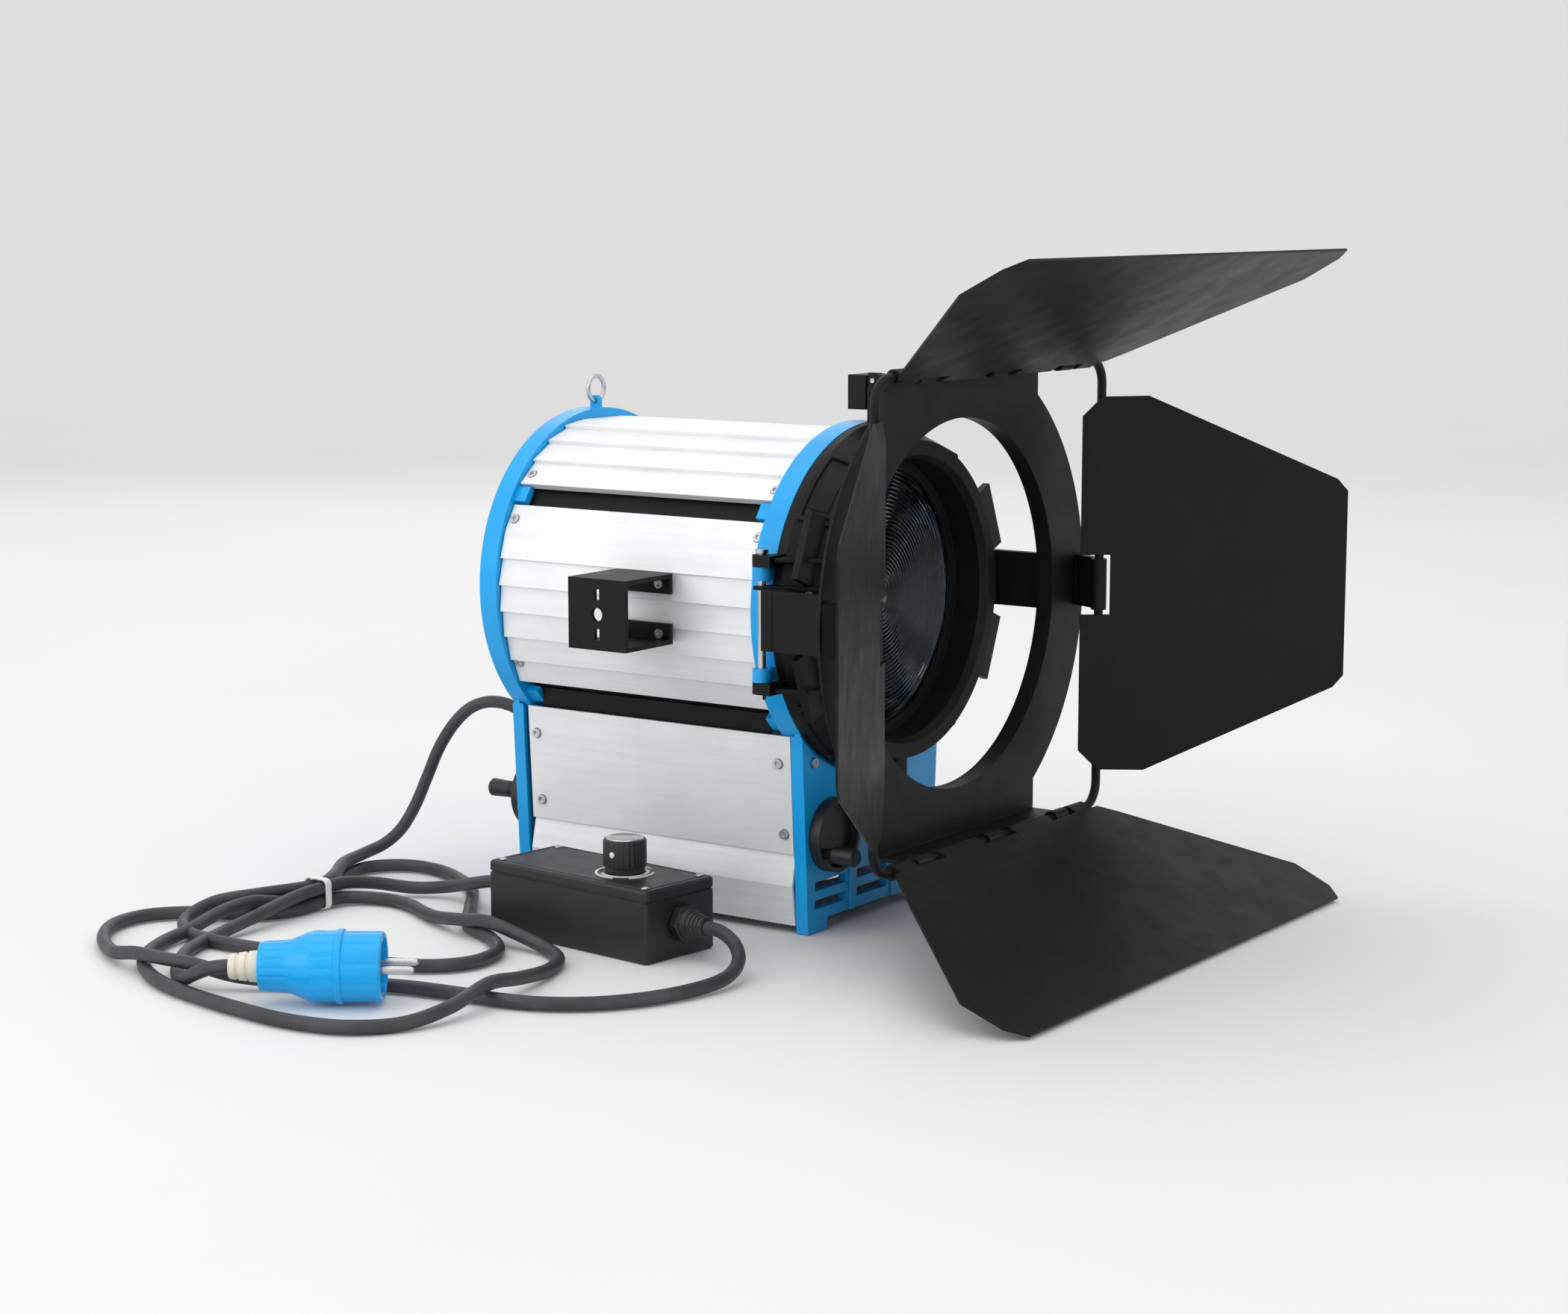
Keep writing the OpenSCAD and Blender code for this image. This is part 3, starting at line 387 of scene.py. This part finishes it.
def finish_piece(name, solid, place, mat_name, body, nodes=(), bevel=0.0, smooth_angle=35):
    """An object from a solid's verts and faces in millimetres, put at place and given to its body.
    It stands for the CAD nodes named, and bevel rounds its sharp edges by that many millimetres."""
    verts, faces = solid
    mesh = bpy.data.meshes.new(name)
    mesh.from_pydata([Vector(v) * MM for v in verts], [], faces)
    bm = bmesh.new()
    bm.from_mesh(mesh)
    bmesh.ops.remove_doubles(bm, verts=bm.verts, dist=WELD)
    bmesh.ops.recalc_face_normals(bm, faces=bm.faces)
    bm.to_mesh(mesh)
    bm.free()
    mesh.shade_smooth()
    mesh.set_sharp_from_angle(angle=math.radians(smooth_angle))
    obj = bpy.data.objects.new(name, mesh)
    bpy.context.scene.collection.objects.link(obj)
    obj.matrix_world = place
    paint(obj, MAT[mat_name])
    if bevel:
        rounding = obj.modifiers.new("rounding", "BEVEL")
        rounding.width = bevel * MM
        rounding.segments = 2
        rounding.limit_method = "ANGLE"
        rounding.angle_limit = math.radians(BEVEL_FROM)
    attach(obj, body)
    if nodes:
        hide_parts(*nodes)


def rings_to_faces(rings, count):
    """Faces between successive rings of count points each, with both ends closed."""
    faces = []
    for i in range(rings - 1):
        for k in range(count):
            n = (k + 1) % count
            faces.append((i * count + k, i * count + n, (i + 1) * count + n, (i + 1) * count + k))
    faces.append(tuple(range(count - 1, -1, -1)))
    faces.append(tuple((rings - 1) * count + k for k in range(count)))
    return faces


def lathe(profile, steps=48, ripple=None):
    """Verts and faces of a turned solid: profile is (radius, height) from the bottom up, ends closed.
    ripple(radius, height, angle) may change a point's radius, for flutes and ribs."""
    verts = []
    for r, z in profile:
        for k in range(steps):
            a = 2 * math.pi * k / steps
            rr = ripple(r, z, a) if ripple else r
            verts.append((rr * math.cos(a), rr * math.sin(a), z))
    return verts, rings_to_faces(len(profile), steps)


def joined(*solids):
    """Several solids as one set of verts and faces."""
    verts, faces = [], []
    for v, f in solids:
        base = len(verts)
        verts += v
        faces += [tuple(i + base for i in face) for face in f]
    return verts, faces


def moved(solid, offset, turn=0.0):
    """The solid turned about the upright axis, in degrees, and then shifted."""
    spin = Matrix.Rotation(math.radians(turn), 3, "Z")
    return [tuple(spin @ Vector(v) + Vector(offset)) for v in solid[0]], solid[1]


def rounded_outline(half_x, half_y, radius, corner_steps=4):
    """A rectangle's outline with round corners, counter-clockwise."""
    out = []
    for cx, cy, start in ((1, 1, 0), (-1, 1, 90), (-1, -1, 180), (1, -1, 270)):
        for k in range(corner_steps + 1):
            a = math.radians(start + 90 * k / corner_steps)
            out.append((cx * (half_x - radius) + radius * math.cos(a),
                        cy * (half_y - radius) + radius * math.sin(a)))
    return out


def stacked(half_x, half_y, radius, layers):
    """A box with rounded corners whose sides step in by the given insets: layers is (inset, height)."""
    least_radius = 0.4
    verts = []
    for inset, z in layers:
        corner = max(radius - inset, least_radius)
        verts += [(x, y, z) for x, y in rounded_outline(half_x - inset, half_y - inset, corner)]
    return verts, rings_to_faces(len(layers), len(verts) // len(layers))


def placed(x, y, z, turn=0.0, tilt=None):
    """A place in millimetres, turned about Z and then tilted by (axis, degrees)."""
    out = Matrix.Translation(Vector((x, y, z)) * MM) @ Matrix.Rotation(math.radians(turn), 4, "Z")
    return out @ Matrix.Rotation(math.radians(tilt[1]), 4, tilt[0]) if tilt else out


def about_axis(f):
    """A place on the lens axis, f millimetres before the housing's middle, with Z pointing forward."""
    return placed(0, -f, AXIS_H, 0, ("X", 90))


# The dimmer's place and turn on the floor, its size, and its knob's place along it
BOX_X, BOX_Y, BOX_TURN = -155, -14, -6.8
BOX_L, BOX_W, BOX_H = 140, 62, 46
KNOB_Y = -BOX_L / 2 + 48
AT_BOX = placed(BOX_X, BOX_Y, 0, BOX_TURN)
AT_KNOB = AT_BOX @ placed(0, KNOB_Y, BOX_H)

# The plug lies at the mains lead's end
PLUG_TURN = -55.3
AT_PLUG = placed(*MAINS_LEAD[-1], PLUG_TURN, ("Y", 90))

# ---------------------------------------------------------------- lens and door details

LENS_R = 88
LENS_RIM = 5.5
LENS_EYE_R = 7
LENS_SEAT = 1.3
RINGS = 28
GROOVE_H, RIM_H, CREST_H = 3.2, 3.8, 5.6
TIP_R = 0.05


def lens_profile():
    """A Fresnel lens from its flat back: the plain rim, saw-toothed rings, and a domed eye."""
    pitch = (LENS_R - LENS_RIM - LENS_EYE_R) / RINGS
    line = [(TIP_R, 0), (LENS_R, 0), (LENS_R, RIM_H), (LENS_R - LENS_RIM, RIM_H)]
    for i in range(RINGS - 1, -1, -1):
        line += [(LENS_EYE_R + (i + 1) * pitch, GROOVE_H), (LENS_EYE_R + i * pitch + 0.3, CREST_H)]
    return line + [(LENS_EYE_R, CREST_H), (4, 6.3), (TIP_R, 6.6)]


finish_piece("lens_rings", lathe(lens_profile(), 128), about_axis(DOOR_F + LENS_SEAT), "glass", "lens_door",
             ("fresnel_lens",), smooth_angle=20)

# The door's cone: its radius where it starts, how far that is into the door, and its fall over its depth
CONE_R = 112.7
CONE_START = 6
CONE_FALL = 10.7
CONE_DEPTH = 26


def cone_bar(a0, a1, f0, f1, height, steps):
    """A bar on the door's cone, from angle a0 to a1 in degrees and from depth f0 to f1."""
    sunk = -1.0
    verts = []
    for k in range(steps + 1):
        a = math.radians(a0 + (a1 - a0) * k / steps)
        for f, up in ((f0, sunk), (f1, sunk), (f1, height), (f0, height)):
            r = CONE_R - (f - CONE_START) * CONE_FALL / CONE_DEPTH + up
            verts.append((r * math.cos(a), r * math.sin(a), f))
    return verts, rings_to_faces(steps + 1, 4)


# On each diagonal of the door: two ribs along the cone, two bars that join them, and a low pad in the middle
RIB_ANGLE = 13
PAD_ANGLE = 9
bars = []
for middle in (45, 135, 225, 315):
    for side in (-RIB_ANGLE, RIB_ANGLE):
        bars.append(cone_bar(middle + side - 0.8, middle + side + 0.8, 8, 30, 2.2, 2))
    bars.append(cone_bar(middle - RIB_ANGLE, middle + RIB_ANGLE, 8, 9.8, 1.6, 10))
    bars.append(cone_bar(middle - RIB_ANGLE, middle + RIB_ANGLE, 26, 27.6, 1.6, 10))
    bars.append(cone_bar(middle - PAD_ANGLE, middle + PAD_ANGLE, 12, 23.5, 0.5, 10))
finish_piece("door_ribs", joined(*bars), about_axis(DOOR_F), "black_metal", "lens_door", bevel=0.3)


def pan_head(radius, height):
    """A domed screw head with a round recess."""
    return lathe([(radius, 0), (radius, height * 0.45), (radius * 0.82, height * 0.85),
                  (radius * 0.5, height), (radius * 0.45, height * 0.99), (radius * 0.42, height * 0.45)], 24)


# Two screws at each side of the door, square to its cone
SCREW_R = 105.2
SCREW_DEPTH = 22
CONE_TILT = 68
for i, angle in enumerate((187.5, 172.5, 7.5, -7.5)):
    round_the_door = about_axis(DOOR_F + SCREW_DEPTH) @ placed(0, 0, 0, angle)
    place = round_the_door @ placed(SCREW_R, 0, 0, 0, ("Y", CONE_TILT))
    finish_piece(f"door_screw_{i}", pan_head(3.0, 2.0), place, "steel", "lens_door")

# Level fins on the door's hinge side: one outline seen from above, at three heights
FIN = [(-123, -110), (-123, -117), (-118, -124), (-107, -150), (-99, -150), (-99, -118), (-112, -116)]
FIN_T = 2.6
fins = [([(x, y, z) for z in (low, low + FIN_T) for x, y in FIN], rings_to_faces(2, len(FIN)))
        for low in (244.0, 226.5, 163.0)]
finish_piece("door_fins", joined(*fins), placed(0, 0, 0), "black_metal", "lens_door", bevel=0.3)

# ---------------------------------------------------------------- dimmer

# The case with its parting groove under the lid and a shallow groove round the lid's top, as (inset, height)
CASE_LAYERS = [(1.2, 0), (0, 1.2), (0, 37.8), (0.9, 38.2), (0.9, 39.2), (0, 39.6), (0, 44.4), (1.3, 45.8),
               (3.2, 46), (3.6, 45.6), (5.0, 45.6), (5.4, 46)]
finish_piece("dimmer_case", stacked(BOX_W / 2, BOX_L / 2, 3, CASE_LAYERS), AT_BOX, "black_plastic", "housing",
             ("dimmer_box", "dimmer_lid"), smooth_angle=25)
LID_SCREW_X, LID_SCREW_Y = 24.5, 63
lid_screws = [moved(pan_head(2.6, 1.1), (x, y, BOX_H))
              for x in (-LID_SCREW_X, LID_SCREW_X) for y in (-LID_SCREW_Y, LID_SCREW_Y)]
finish_piece("dimmer_screws", joined(*lid_screws), AT_BOX, "steel", "housing")


def flat_arc(r_out, r_in, a0, a1, steps=24, thickness=0.6):
    """A flat strip round the origin, from angle a0 to a1 in degrees."""
    outer = [(r_out, math.radians(a0 + k * (a1 - a0) / steps)) for k in range(steps + 1)]
    inner = [(r_in, math.radians(a1 - k * (a1 - a0) / steps)) for k in range(steps + 1)]
    verts = [(r * math.cos(a), r * math.sin(a), z) for z in (0.0, thickness) for r, a in outer + inner]
    return verts, rings_to_faces(2, 2 * (steps + 1))


dial = joined(flat_arc(19, 17.2, -128, -52), flat_arc(19, 17.2, -20, 200), flat_arc(15.6, 13.4, -215, 35))
finish_piece("dial_arcs", dial, AT_KNOB, "white_plastic", "housing", ("dimmer_dial",), smooth_angle=25)


def groove_depth(a, count, depth, sharpness):
    """How deep a ring of count upright grooves is at angle a."""
    return depth * (0.5 + 0.5 * math.cos(count * a)) ** sharpness


def fluted(r, z, a):
    """The knob's flutes, between its skirt and its top."""
    return r - groove_depth(a, 24, 0.5, 2) if 5 < z < 21 else r


knob = lathe([(3.4, 0.2), (3.4, 0.9), (12.4, 0.9), (12.6, 1.4), (12.6, 4.0), (13.2, 4.6), (13.8, 5.4),
              (13.8, 9), (13.8, 14), (13.8, 20.6), (13.2, 21.8), (12.2, 22.2)], 144, fluted)
finish_piece("knob_grip", knob, AT_KNOB, "black_plastic", "dimmer_knob", ("dimmer_knob",), smooth_angle=30)
cap = lathe([(12.0, 21.5), (12.0, 22.4), (11.5, 22.9), (10.8, 23.0), (10.3, 22.7), (1.0, 22.6)])
finish_piece("knob_cap", cap, AT_KNOB, "steel", "dimmer_knob")
AT_MARK = AT_KNOB @ placed(-13.0, -2.0, 13.5, 0, ("Y", -90))
mark = lathe([(1.9, 0), (1.9, 0.8), (1.5, 1.0)], 24)
finish_piece("knob_mark", mark, AT_MARK, "white_plastic", "dimmer_knob")

SLEEVE_RIBS = 5


def gland_parts(nut_r, nut_h, sleeve_from, sleeve_to, sleeve_l):
    """A six-sided nut, a collar and a tapered, ribbed sleeve that the cord leaves by."""
    nut = lathe([(nut_r * 0.86, 0.0), (nut_r, 0.9), (nut_r, nut_h - 0.9), (nut_r * 0.86, nut_h)], 6)
    collar = lathe([(nut_r * 0.78, nut_h - 0.2), (nut_r * 0.78, nut_h + 1.2), (sleeve_from, nut_h + 1.8)], 40)
    line = [(sleeve_from * 0.9, nut_h)]
    start, groove = 1.6, 0.7
    for i in range(SLEEVE_RIBS):
        t0, t1 = i / SLEEVE_RIBS, (i + 0.72) / SLEEVE_RIBS
        for t, drop in ((t0, 0.0), (t1, 0.0), (t1 + 0.02, groove), ((i + 0.98) / SLEEVE_RIBS, groove)):
            r = sleeve_from + (sleeve_to - sleeve_from) * t - drop
            line.append((r, nut_h + start + (sleeve_l - start) * t))
    line.append((4.4, nut_h + sleeve_l))
    return joined(nut, collar, lathe(line, 40))


BOX_GLAND_H = 22
for name, node, end in (("dimmer_gland_nut", "dimmer_gland", -1), ("supply_gland_nut", "supply_gland", 1)):
    place = AT_BOX @ placed(0, end * BOX_L / 2, BOX_GLAND_H, 0, ("X", -90 * end))
    finish_piece(name, gland_parts(12, 7, 9, 6, 15), place, "black_plastic", "housing", (node,), bevel=0.25)
LAMP_GLAND_X, _, LAMP_GLAND_H = LAMP_CORD[0]
AT_LAMP_GLAND = placed(LAMP_GLAND_X, BODY_L / 2 + 0.2, LAMP_GLAND_H, 0, ("X", -90))
finish_piece("lamp_gland_nut", gland_parts(10, 6, 7.5, 5, 22), AT_LAMP_GLAND, "black_plastic", "housing",
             ("cable_gland",), bevel=0.25)

# ---------------------------------------------------------------- plug and tie


def ribbed_plug(r, z, a):
    """Grip ribs at the plug's neck, its shoulder and its wide barrel."""
    if 20 < z < 34 or 50 < z < 61:
        return r - groove_depth(a, 18, 0.7, 4)
    if 68.5 < z < 88:
        return r - groove_depth(a, 10, 0.9, 10)
    return r


shell = lathe([(9.7, 18), (14, 18), (14.4, 18.6), (14.8, 22), (15.5, 33), (15.8, 36), (17.4, 40), (19.6, 45),
               (20.8, 49), (21, 50.5), (21, 55), (21, 60.5), (21, 62.6), (21.9, 63.2), (22, 64), (22, 66),
               (21.8, 66.8), (20.6, 67.4), (20.6, 69), (20.6, 78), (20.6, 87.6), (20.2, 89.4), (19.4, 90),
               (17.6, 90), (17.2, 89.6), (17.0, 84.0), (16.4, 83.6), (1, 83.6)], 144, ribbed_plug)
finish_piece("plug_shell", shell, AT_PLUG, "blue_plastic", "housing", ("plug_body",), smooth_angle=30)
PIN_OFFSET = 9.5
pin = lathe([(2.35, 76), (2.35, 104.5), (2.2, 106.6), (1.6, 108.3), (0.6, 109)], 28)
clip = ([(x, y, z) for z in (84.0, 89.6) for x, y in ((15.4, -3), (17.4, -3), (17.4, 3), (15.4, 3))],
        rings_to_faces(2, 4))
earth = [moved(clip, (0, 0, 0), turn) for turn in (0, 180)]
contacts = joined(moved(pin, (0, PIN_OFFSET, 0)), moved(pin, (0, -PIN_OFFSET, 0)), *earth)
finish_piece("plug_contacts", contacts, AT_PLUG, "steel", "housing", ("plug_pins",), bevel=0.15)
sleeve = lathe([(5.0, 0), (6.9, 0), (7.4, 0.8), (7.8, 4), (7.2, 4.4), (7.2, 5.4), (8.1, 5.8), (8.6, 10),
                (8.0, 10.4), (8.0, 11.4), (8.9, 11.8), (9.5, 17.8)], 64)
finish_piece("plug_sleeve", sleeve, AT_PLUG, "cream_plastic", "housing", ("plug_bush",), smooth_angle=25)

# The tie: its middle along X, half its width, its thickness, and its ranges in Y and Z
TIE_X = -197
TIE_HALF_W = 2.5
TIE_T = 1.2
TIE_Y = (179.9, 200.3)
TIE_Z = (0.1, 21.0)


def tie_solid():
    """A flat strap closed round the cords, with rounded corners."""
    half_y = (TIE_Y[1] - TIE_Y[0]) / 2
    half_z = (TIE_Z[1] - TIE_Z[0]) / 2
    outer = rounded_outline(half_y, half_z, 4.4, 6)
    inner = rounded_outline(half_y - TIE_T, half_z - TIE_T, 3.4, 6)
    count = len(outer)
    verts = [(x, y, z) for outline in (outer, inner) for x in (-TIE_HALF_W, TIE_HALF_W) for y, z in outline]
    faces = []
    for k in range(count):
        n = (k + 1) % count
        faces += [(k, n, count + n, count + k), (2 * count + k, 3 * count + k, 3 * count + n, 2 * count + n),
                  (k, 2 * count + k, 2 * count + n, n), (count + k, count + n, 3 * count + n, 3 * count + k)]
    return verts, faces


AT_TIE = placed(TIE_X, sum(TIE_Y) / 2, sum(TIE_Z) / 2)
finish_piece("tie_strap", tie_solid(), AT_TIE, "white_plastic", "housing", ("cord_tie",), bevel=0.3)

add_cord("lamp_cord_sheath", LAMP_CORD, "housing", ("lamp_cord", "cord_coil", "dimmer_cord"))
add_cord("mains_lead_sheath", MAINS_LEAD, "housing", ("mains_cord", "plug_cord"))
